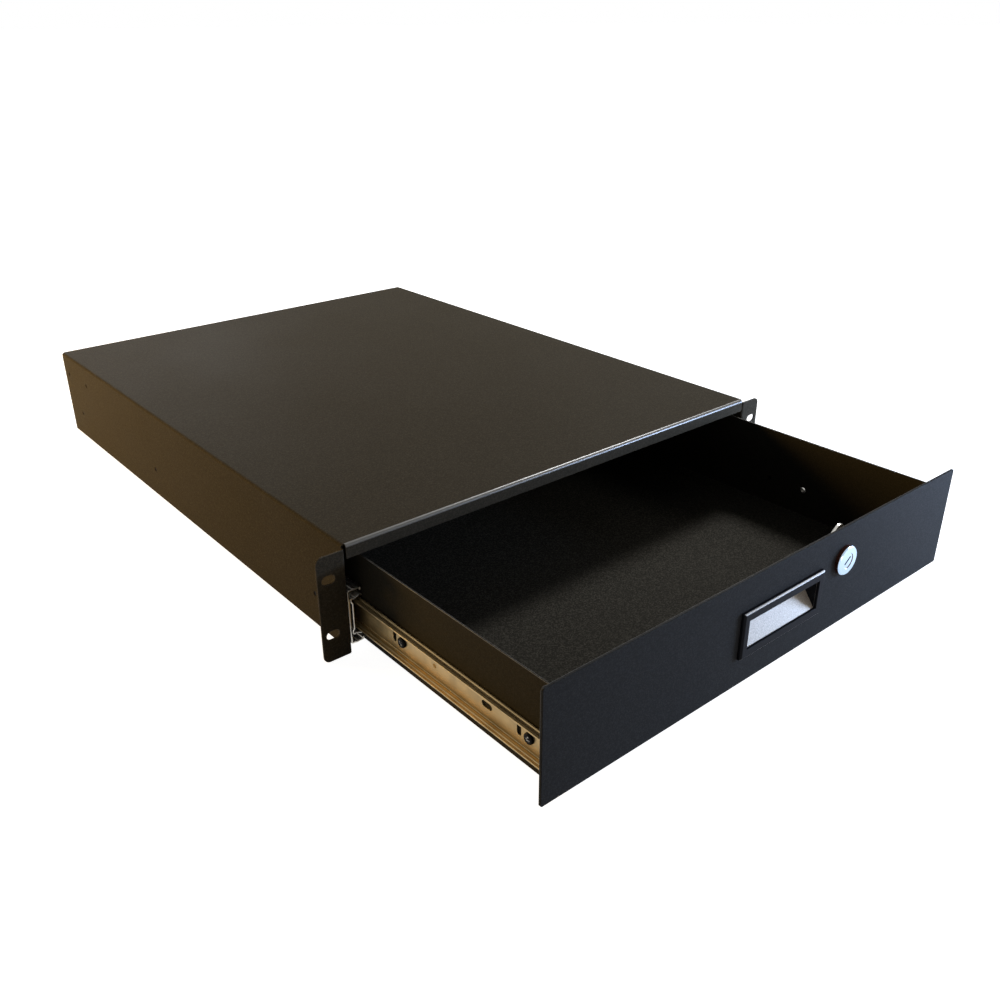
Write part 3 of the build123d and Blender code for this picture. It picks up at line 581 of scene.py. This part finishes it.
def screw_tree():
    """Pan-head screw with a cross recess: its origin is the top of its head."""
    tree, given = new_tree("cross_recess_screws", [
        "Head Radius", "Head Height", "Shank Radius", "Shank Length",
        "Recess Width", "Recess Reach", "Recess Depth"])
    profile = [(0, -1), (1, -1), (1, -0.5), (0.95, -0.28), (0.84, -0.1), (0.68, -0.01), (0, 0)]
    head = turned(tree, profile, given["Head Radius"], given["Head Height"])
    arms = []
    for wide, long in (("Recess Width", "Recess Reach"), ("Recess Reach", "Recess Width")):
        depth = calculate(tree, "MULTIPLY", given["Recess Depth"], 2)
        size = vector_of(tree, X=given[wide], Y=given[long], Z=depth)
        arms.append(add_node(tree, "GeometryNodeMeshCube", links={"Size": size}).outputs[0])
    recessed = cut(tree, head, arms)
    below = calculate(tree, "MULTIPLY", given["Head Height"], -1)
    shank = bar(tree, given["Shank Radius"], given["Shank Length"], below)
    # Faces deep in the middle of the recess get bright metal: a painted glint that stands in for the
    # highlight there.
    position = add_node(tree, "GeometryNodeInputPosition").outputs[0]
    place = add_node(tree, "ShaderNodeSeparateXYZ", links={0: position}).outputs
    reach = calculate(tree, "MULTIPLY", given["Recess Reach"], RECESS_SHARE)
    off_axis = calculate(tree, "MAXIMUM", calculate(tree, "ABSOLUTE", place["X"]),
                         calculate(tree, "ABSOLUTE", place["Y"]))
    inside = calculate(tree, "LESS_THAN", off_axis, reach)
    low = calculate(tree, "LESS_THAN", place["Z"], RECESS_TOP)
    painted_glint = marked_bare_and_glint(tree, recessed, Value=calculate(tree, "MULTIPLY", inside, low))
    return finish_tree(tree, given, joined(tree, painted_glint, shank))


def rivet_tree():
    """Blind rivet: a low dome with the dimple its pulled stem leaves."""
    tree, given = new_tree("blind_rivets",
                           ["Head Radius", "Head Height", "Shank Radius", "Shank Length"])
    profile = [(0, -1), (1, -1), (0.97, -0.7), (0.85, -0.4), (0.65, -0.14), (0.42, 0), (0.34, -0.03),
               (0.3, -0.5), (0.12, -0.42), (0, -0.4)]
    head = turned(tree, profile, given["Head Radius"], given["Head Height"])
    below = calculate(tree, "MULTIPLY", given["Head Height"], -1)
    shank = bar(tree, given["Shank Radius"], given["Shank Length"], below)
    return finish_tree(tree, given, joined(tree, marked_bare_and_glint(tree, head), shank))


def ball_tree():
    """Bearing balls: each place is the top of its ball."""
    tree, given = new_tree("bearing_balls", ["Radius"])
    ball = add_node(tree, "GeometryNodeMeshUVSphere", {"Segments": 24, "Rings": 14},
                    {"Radius": given["Radius"]}).outputs["Mesh"]
    drop = calculate(tree, "MULTIPLY", given["Radius"], -1)
    return finish_tree(tree, given, moved(tree, ball, vector_of(tree, Z=drop)))


def nut_tree():
    """Flange nut: a chamfered hexagon that widens to a round skirt, with a bore."""
    tree, given = new_tree("flange_nuts", ["Across Flats", "Height", "Flange Radius", "Bore Radius"])
    corner = calculate(tree, "MULTIPLY", given["Across Flats"], 0.5 / math.cos(math.pi / 6))
    hexagon = bar(tree, corner, given["Height"], 0.0, vertices=6)
    cone = turned(tree, [(0, -1), (1.0, -1), (1.0, -0.13), (0.86, 0), (0, 0)], corner, given["Height"])
    body = add_node(tree, "GeometryNodeMeshBoolean", operation="INTERSECT")
    tree.links.new(hexagon, body.inputs["Mesh 2"])
    tree.links.new(cone, body.inputs["Mesh 2"])
    skirt = turned(tree, [(0, -1), (1, -1), (1, -0.86), (0.74, -0.62), (0, -0.62)],
                   given["Flange Radius"], given["Height"])
    hole = bar(tree, given["Bore Radius"], calculate(tree, "MULTIPLY", given["Height"], 3),
               given["Height"])
    nut = cut(tree, joined(tree, body.outputs[0], skirt), [hole])
    return finish_tree(tree, given, nut)


def stud_tree():
    """Weld stud: a core with a thread that winds up it."""
    tree, given = new_tree("weld_studs", ["Radius", "Length", "Pitch", "Depth"])
    core = calculate(tree, "SUBTRACT", given["Radius"], given["Depth"])
    all_turns = calculate(tree, "DIVIDE", given["Length"], given["Pitch"])
    turns = calculate(tree, "SUBTRACT", all_turns, PLAIN_TURNS)
    ridge_radius = calculate(tree, "MULTIPLY", given["Depth"], WOUND_RIDGE)
    crest = calculate(tree, "SUBTRACT", given["Radius"], ridge_radius)
    rise = calculate(tree, "MULTIPLY", turns, given["Pitch"])
    spiral = add_node(tree, "GeometryNodeCurveSpiral", {"Resolution": 24},
                      {"Rotations": turns, "Start Radius": crest, "End Radius": crest, "Height": rise})
    ridge = add_node(tree, "GeometryNodeCurvePrimitiveCircle", {"Resolution": 4}, {"Radius": ridge_radius})
    thread = add_node(tree, "GeometryNodeCurveToMesh", {"Fill Caps": True},
                      {"Curve": spiral.outputs[0], "Profile Curve": ridge.outputs["Curve"]})
    first = calculate(tree, "MULTIPLY", given["Pitch"], FIRST_TURN)
    start = calculate(tree, "SUBTRACT", first, given["Length"])
    wound = moved(tree, thread.outputs[0], vector_of(tree, Z=start))
    rod = turned(tree, [(0, -1), (1, -1), (1, -0.05), (0.8, 0), (0, 0)], core, given["Length"])
    return finish_tree(tree, given, joined(tree, rod, wound))


def repeat_on(node, tree, facing, finish, sizes):
    """Run a tree on the places of a node's solids and keep the result as one plain mesh."""
    boxes = solid_boxes(node)
    given = {**sizes(boxes[0][1] - boxes[0][0]), "Finish": finish,
             "Seed": bpy.context.scene.rack_drawer_sizes.seed}
    piece = place_piece(f"made_{node}", places_mesh(node, boxes, facing), node)
    modifier = piece.modifiers.new("Copies", "NODES")
    modifier.node_group = tree
    for socket in tree.interface.items_tree:
        if socket.in_out == "INPUT" and socket.name in given:
            modifier[socket.identifier] = given[socket.name]
    result = piece.evaluated_get(bpy.context.evaluated_depsgraph_get())
    mesh = bpy.data.meshes.new_from_object(result)
    piece.modifiers.clear()
    piece.data = mesh
    mesh.name = piece.name
    outward(mesh)
    return piece


def outward(mesh):
    """Point every face of a closed mesh outwards."""
    work = bmesh.new()
    work.from_mesh(mesh)
    bmesh.ops.recalc_face_normals(work, faces=work.faces)
    work.to_mesh(mesh)
    work.free()


class RACK_DRAWER_OT_case(bpy.types.Operator):
    """Finish the case, its rear panel and the lock strike"""

    bl_idname = "rack_drawer.case"
    bl_label = "Case"

    def execute(self, context):
        scene = context.scene
        colour = scene.rack_drawer_finishes.case_coat
        coat = powder_coat("textured_black_powder_coat", colour,
                           grit=0.8, fleck=1.3, relief=0.35, roughness=0.6, gloss=0.01)
        cuts = powder_coat("black_powder_coat_on_cut_edges", colour,
                           grit=0.8, fleck=1.3, relief=0.1, roughness=0.4, gloss=0.12)
        folds = powder_coat("black_powder_coat_over_front_fold", colour,
                            grit=0.8, fleck=1.2, relief=0.0, roughness=0.35, gloss=0.7)
        edge = scene.rack_drawer_sizes.sheet_edge
        finish_all(["case_shell"], coat, edge, cut_finish=cuts, chosen=is_level_fold, chosen_finish=folds)
        finish_all(["rear_panel", "lock_strike"], coat, edge, cut_finish=cuts)
        return {"FINISHED"}


class RACK_DRAWER_OT_drawer(bpy.types.Operator):
    """Finish the tray and the front panel"""

    bl_idname = "rack_drawer.drawer"
    bl_label = "Drawer"

    def execute(self, context):
        scene = context.scene
        finishes = scene.rack_drawer_finishes
        tray = powder_coat("coarse_black_powder_coat", finishes.tray_coat,
                           grit=0.8, fleck=2.2, relief=0.6, roughness=0.6, gloss=0.01)
        tray_walls = powder_coat("even_black_powder_coat_on_tray_walls", finishes.tray_coat,
                                 grit=0.6, fleck=1.2, relief=0.3, roughness=0.6, gloss=0.01)
        tray_cuts = powder_coat("coarse_black_powder_coat_on_cut_edges", finishes.tray_coat,
                                grit=0.8, fleck=1.5, relief=0.1, roughness=0.4, gloss=0.4)
        panel = powder_coat("satin_black_powder_coat", finishes.panel_coat,
                            grit=0.7, fleck=1.3, relief=0.2, roughness=0.5, gloss=0.015)
        panel_cuts = powder_coat("satin_black_powder_coat_on_cut_edges", finishes.panel_coat,
                                 grit=0.7, fleck=1.3, relief=0.1, roughness=0.4, gloss=0.3)
        edge = scene.rack_drawer_sizes.sheet_edge
        finish_all(["drawer_tray"], tray, edge, cut_finish=tray_cuts,
                   chosen=is_end_wall, chosen_finish=tray_walls)
        finish_all(["front_panel"], panel, edge, cut_finish=panel_cuts)
        return {"FINISHED"}


class RACK_DRAWER_OT_rails(bpy.types.Operator):
    """Finish the six rails of the two slides"""

    bl_idname = "rack_drawer.rails"
    bl_label = "Rails"

    def execute(self, context):
        scene = context.scene
        finishes = scene.rack_drawer_finishes
        clear = drawn_zinc("clear_zinc_on_rolled_steel", finishes.rail_zinc, roughness=0.34)
        # The inner rails' yellow tone is partly their own yellow zinc and partly a painted reflection of
        # warm light.
        warm = drawn_zinc("yellow_zinc_with_painted_warm_reflection", finishes.warm_zinc, roughness=0.42)
        edge = scene.rack_drawer_sizes.rail_edge
        finish_all(sides_of("outer_rail") + sides_of("middle_rail"), clear, edge)
        finish_all(sides_of("inner_rail"), warm, edge)
        return {"FINISHED"}


class RACK_DRAWER_OT_bearings(bpy.types.Operator):
    """Finish the ball cages and the bumpers and make the balls"""

    bl_idname = "rack_drawer.bearings"
    bl_label = "Bearings"

    def execute(self, context):
        scene = context.scene
        finishes = scene.rack_drawer_finishes
        cage = plated("bright_zinc_cage", finishes.plain_zinc, roughness=0.3)
        steel = plated("polished_bearing_steel", finishes.plain_zinc, roughness=0.08)
        rubber = fine_grained("black_rubber", finishes.rubber, roughness=0.75, grit=0.6, relief=0.3)
        fine = scene.rack_drawer_sizes.fine_edge
        finish_all(sides_of("outer_cage") + sides_of("inner_cage"), cage, fine)
        finish_all(["rail_bumpers"], rubber, fine)
        balls = ball_tree()
        for node in ("outer_cage_balls", "inner_cage_balls"):
            repeat_on(node, balls, inwards, steel, lambda size: {"Radius": size.z / 2})
        return {"FINISHED"}


class RACK_DRAWER_OT_screws(bpy.types.Operator):
    """Make the screws of the slides, each with a cross recess"""

    bl_idname = "rack_drawer.screws"
    bl_label = "Slide Screws"

    inner_head: length_property("Inner Head", "Height of the heads on the inner rails", 2.2)
    outer_head: length_property("Outer Head", "Height of the heads in the outer rails", 1.0)
    inner_shank: length_property("Inner Shank", "Half the thickness of the inner rails' screws", 1.9)
    outer_shank: length_property(
        "Outer Shank", "Half the thickness of the outer rails' screws, which fill the case's holes", 2.02)

    def execute(self, context):
        sizes = context.scene.rack_drawer_sizes
        finishes = context.scene.rack_drawer_finishes
        # The bright metal in each cross recess is a painted glint.
        black = two_tone("black_zinc_with_painted_glint_in_recess", finishes.black_zinc, finishes.plain_zinc)
        screws = screw_tree()
        for node, facing, head, shank in (
                ("inner_rail_screws", outwards, self.inner_head, self.inner_shank),
                ("outer_rail_screws", inwards, self.outer_head, self.outer_shank)):
            recess = min(sizes.recess_depth, DEEPEST_RECESS * head)
            repeat_on(node, screws, facing, black, lambda size: {
                "Head Radius": size.z / 2, "Head Height": head, "Shank Radius": shank,
                "Shank Length": size.x - head, "Recess Width": sizes.recess_width,
                "Recess Reach": sizes.recess_reach, "Recess Depth": recess})
        return {"FINISHED"}


class RACK_DRAWER_OT_rivets(bpy.types.Operator):
    """Make the rivets of the tray and the rear panel"""

    bl_idname = "rack_drawer.rivets"
    bl_label = "Rivets"

    head_height: length_property("Head Height", "Height of a rivet's dome", 0.9)
    tray_shank: length_property("Tray Shank", "Half the thickness of the tray's rivets", 1.6)
    rear_shank: length_property(
        "Rear Shank", "Half the thickness of the rear panel's rivets, which fill their holes", 2.02)

    def execute(self, context):
        finishes = context.scene.rack_drawer_finishes
        # The rivets' shanks take the inner rails' warm zinc, whose yellow tone is partly a painted warm
        # reflection.
        bright = two_tone("zinc_rivets_set_in_yellow_zinc", finishes.warm_zinc, finishes.plain_zinc)
        black = fine_grained("black_painted_rivets", finishes.black_zinc,
                             roughness=0.6, grit=0.4, relief=0.1, gloss=0.01)
        rivets = rivet_tree()
        for node, shank, finish in (("tray_rivets", self.tray_shank, bright),
                                    ("rear_panel_rivets", self.rear_shank, black)):
            repeat_on(node, rivets, inwards, finish, lambda size: {
                "Head Radius": size.z / 2, "Head Height": self.head_height, "Shank Radius": shank,
                "Shank Length": size.x - self.head_height})
        return {"FINISHED"}


class RACK_DRAWER_OT_panel_fixings(bpy.types.Operator):
    """Make the weld studs and flange nuts that hold the front panel"""

    bl_idname = "rack_drawer.panel_fixings"
    bl_label = "Studs and Nuts"

    across_flats: length_property("Across Flats", "Width of a nut across its flats", 7.0)

    def execute(self, context):
        sizes = context.scene.rack_drawer_sizes
        zinc = plated("bright_zinc_nuts", context.scene.rack_drawer_finishes.plain_zinc, roughness=0.3)
        stud_boxes = solid_boxes("panel_studs")
        stud_radius = (stud_boxes[0][1].x - stud_boxes[0][0].x) / 2
        repeat_on("panel_studs", stud_tree(), backwards, zinc, lambda size: {
            "Radius": size.x / 2, "Length": size.y, "Pitch": sizes.thread_pitch,
            "Depth": sizes.thread_depth})
        repeat_on("panel_nuts", nut_tree(), backwards, zinc, lambda size: {
            "Across Flats": self.across_flats, "Height": size.y, "Flange Radius": size.x / 2,
            "Bore Radius": stud_radius})
        return {"FINISHED"}


class RACK_DRAWER_OT_pull(bpy.types.Operator):
    """Finish the bezel and the cup of the recessed pull"""

    bl_idname = "rack_drawer.pull"
    bl_label = "Recessed Pull"

    def execute(self, context):
        scene = context.scene
        finishes = scene.rack_drawer_finishes
        plastic = fine_grained("black_moulded_nylon", finishes.pull_black,
                               roughness=0.5, grit=0.5, relief=0.15, gloss=0.03)
        polished = fine_grained("polished_black_nylon_bevel", finishes.pull_black,
                                roughness=0.3, grit=0.5, relief=0.0, gloss=1.0)
        silver = silver_texture("silver_texture_paint", finishes.cup_silver)
        finish_all(["pull_bezel"], plastic, scene.rack_drawer_sizes.moulded_edge,
                   chosen=is_level_fold, chosen_finish=polished)
        # The cup's end walls take the bezel's black nylon: partly the pull's own black, partly painted
        # shade where the end walls lie in shadow.
        finish_all(["pull_cup"], silver, scene.rack_drawer_sizes.fine_edge,
                   chosen=is_end_wall, chosen_finish=plastic)
        return {"FINISHED"}


class RACK_DRAWER_OT_lock(bpy.types.Operator):
    """Finish the cam lock"""

    bl_idname = "rack_drawer.lock"
    bl_label = "Cam Lock"

    def execute(self, context):
        scene = context.scene
        finishes = scene.rack_drawer_finishes
        chrome = plated("bright_chrome_plate", finishes.chrome, roughness=0.09)
        # The side of the lock head gets a dark warm colour: a painted reflection, not a real finish.
        side_reflection = plated("painted_dark_reflection_on_lock_side", finishes.lock_side_painted_reflection, roughness=0.3)
        zinc = plated("bright_zinc_cam", finishes.plain_zinc, roughness=0.28)
        fine = scene.rack_drawer_sizes.fine_edge
        finish_all(["lock_body"], chrome, fine, chosen=is_lock_side, chosen_finish=side_reflection)
        finish_all(["lock_plug"], chrome, fine)
        finish_all(["lock_nut", "lock_cam", "cam_screw"], zinc, fine)
        return {"FINISHED"}


# Stage

def is_ray(tree, *kinds):
    """One where the ray of light is of a given kind, and otherwise nothing."""
    path = add_node(tree, "ShaderNodeLightPath")
    found = path.outputs[f"Is {kinds[0]} Ray"]
    for kind in kinds[1:]:
        found = calculate(tree, "MAXIMUM", found, path.outputs[f"Is {kind} Ray"])
    return found


def mixed(tree, share, first, second):
    """Two shaders, of which the second takes the share."""
    return add_node(tree, "ShaderNodeMixShader", links={"Fac": share, 1: first, 2: second}).outputs[0]


def white_light(tree, strength):
    """Plain white that comes from all round."""
    return add_node(tree, "ShaderNodeBackground", {"Color": WHITE, "Strength": strength}).outputs[0]


def add_world(scene):
    """Faint light from all round, with a plain white in sight of the camera and reflections."""
    world = bpy.data.worlds.new("studio")
    scene.world = world
    world.use_nodes = True
    tree = world.node_tree
    tree.nodes.clear()
    seen = is_ray(tree, "Camera", "Glossy", "Transmission")
    surface = mixed(tree, seen, white_light(tree, AIR_LIGHT), white_light(tree, BACKDROP))
    add_node(tree, "ShaderNodeOutputWorld", links={"Surface": surface})


def add_floor(scene):
    """Pale floor under the part, white in sight of the camera and clear from below."""
    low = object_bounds()[0].z
    mesh = bpy.data.meshes.new("studio_floor")
    sides = ((-1, -1), (1, -1), (1, 1), (-1, 1))
    corners = [(across * FLOOR_REACH, along * FLOOR_REACH, low) for across, along in sides]
    mesh.from_pydata(corners, [], [(0, 1, 2, 3)])
    floor = bpy.data.objects.new("studio_floor", mesh)
    scene.collection.objects.link(floor)
    material, tree, shader = new_material("pale_studio_floor", Roughness=0.9, Specular_IOR_Level=0.1)
    shader.inputs["Base Color"].default_value = rgba(scene.rack_drawer_finishes.floor)
    lift = calculate(tree, "MULTIPLY", is_ray(tree, "Camera", "Glossy"), FLOOR_GLOW)
    glow = add_node(tree, "ShaderNodeEmission", {"Color": WHITE}, {"Strength": lift})
    both = add_node(tree, "ShaderNodeAddShader", links={0: shader.outputs[0], 1: glow.outputs[0]})
    below = add_node(tree, "ShaderNodeNewGeometry").outputs["Backfacing"]
    clear = add_node(tree, "ShaderNodeBsdfTransparent")
    one_way = mixed(tree, below, both.outputs[0], clear.outputs[0])
    tree.links.new(one_way, tree.nodes["Material Output"].inputs["Surface"])
    mesh.materials.append(material)
    floor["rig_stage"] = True


def add_area_lamp(scene, name, place, target, size, power, code="#ffffff"):
    """Soft lamp that looks from its place at a target: metres and watts."""
    data = bpy.data.lights.new(name, "AREA")
    data.shape = "RECTANGLE"
    data.size, data.size_y = size
    data.energy = power
    data.color = linear(code)
    lamp = bpy.data.objects.new(name, data)
    lamp.location = place
    lamp.rotation_euler = (Vector(target) - Vector(place)).to_track_quat("-Z", "Y").to_euler()
    scene.collection.objects.link(lamp)


def add_camera(scene):
    """Camera that stands where the photo was taken from."""
    stage = scene.rack_drawer_stage
    data = bpy.data.cameras.new("photo_view")
    data.sensor_width = SENSOR_WIDTH
    data.lens = stage.focal_length
    data.clip_start = NEAREST_SEEN
    camera = bpy.data.objects.new("photo_view", data)
    turn = (Matrix.Rotation(-stage.camera_heading, 3, "Z")
            @ Matrix.Rotation(math.pi / 2 - stage.camera_dip, 3, "X")
            @ Matrix.Rotation(stage.camera_roll, 3, "Z"))
    camera.location = stage.camera_place
    camera.rotation_euler = turn.to_euler()
    scene.collection.objects.link(camera)
    scene.camera = camera


class RACK_DRAWER_OT_stage(bpy.types.Operator):
    """Add the floor, the lamps and the camera"""

    bl_idname = "rack_drawer.stage"
    bl_label = "Stage"

    def execute(self, context):
        scene = context.scene
        scene.view_settings.view_transform = "Standard"
        add_world(scene)
        add_floor(scene)
        add_area_lamp(scene, "key_strip", place=(0.64, -0.60, 0.36), target=(0.1, -0.2, 0),
                      size=(0.35, 0.10), power=1.2)
        add_area_lamp(scene, "panel_side", place=(0.62, -0.50, 0.08), target=(0.1, -0.2, 0),
                      size=(0.25, 0.25), power=8.7, code="#bdd6ff")
        add_area_lamp(scene, "panel_front", place=(-0.1, -1.3, 0.1), target=(0, -0.2, 0),
                      size=(0.4, 0.4), power=3, code="#fff2e8")
        add_area_lamp(scene, "rear_softbox", place=(0.2, 1.6, 0.5), target=(0, 0.3, 0),
                      size=(0.6, 0.6), power=6.3, code="#f4fbff")
        add_area_lamp(scene, "warm_side", place=(-0.9, 1.0, 0.3), target=(-0.2, 0.35, 0),
                      size=(0.4, 0.4), power=15.5, code="#ffcf78")
        add_area_lamp(scene, "top_softbox", place=(0.98, 0.51, 1.06), target=(0, 0, 0),
                      size=(0.3, 0.3), power=15.5)
        add_camera(scene)
        return {"FINISHED"}


class RACK_DRAWER_PT_panel(bpy.types.Panel):
    """Lists the drawer's pieces in the order they are made"""

    bl_idname = "RACK_DRAWER_PT_panel"
    bl_label = "Rack Drawer"
    bl_space_type = "VIEW_3D"
    bl_region_type = "UI"
    bl_category = "Rack Drawer"

    def draw(self, context):
        for operator in OPERATORS:
            self.layout.operator(operator.bl_idname)
        for group in (context.scene.rack_drawer_sizes, context.scene.rack_drawer_finishes,
                      context.scene.rack_drawer_stage):
            for name in group.__annotations__:
                self.layout.prop(group, name)


OPERATORS = (RACK_DRAWER_OT_case, RACK_DRAWER_OT_drawer, RACK_DRAWER_OT_rails, RACK_DRAWER_OT_bearings,
             RACK_DRAWER_OT_screws, RACK_DRAWER_OT_rivets, RACK_DRAWER_OT_panel_fixings,
             RACK_DRAWER_OT_pull, RACK_DRAWER_OT_lock, RACK_DRAWER_OT_stage)
GROUPS = {"rack_drawer_sizes": RackDrawerSizes, "rack_drawer_finishes": RackDrawerFinishes,
          "rack_drawer_stage": RackDrawerStage}


def register():
    for group in GROUPS.values():
        bpy.utils.register_class(group)
    for name, group in GROUPS.items():
        setattr(bpy.types.Scene, name, PointerProperty(type=group))
    for cls in (*OPERATORS, RACK_DRAWER_PT_panel):
        bpy.utils.register_class(cls)


def unregister():
    for cls in reversed((*OPERATORS, RACK_DRAWER_PT_panel)):
        bpy.utils.unregister_class(cls)
    for name in GROUPS:
        delattr(bpy.types.Scene, name)
    for group in reversed(list(GROUPS.values())):
        bpy.utils.unregister_class(group)


def main():
    """Run every step in order."""
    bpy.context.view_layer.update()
    register()
    for operator in OPERATORS:
        group, name = operator.bl_idname.split(".")
        getattr(getattr(bpy.ops, group), name)()


if __name__ == "__main__":
    main()
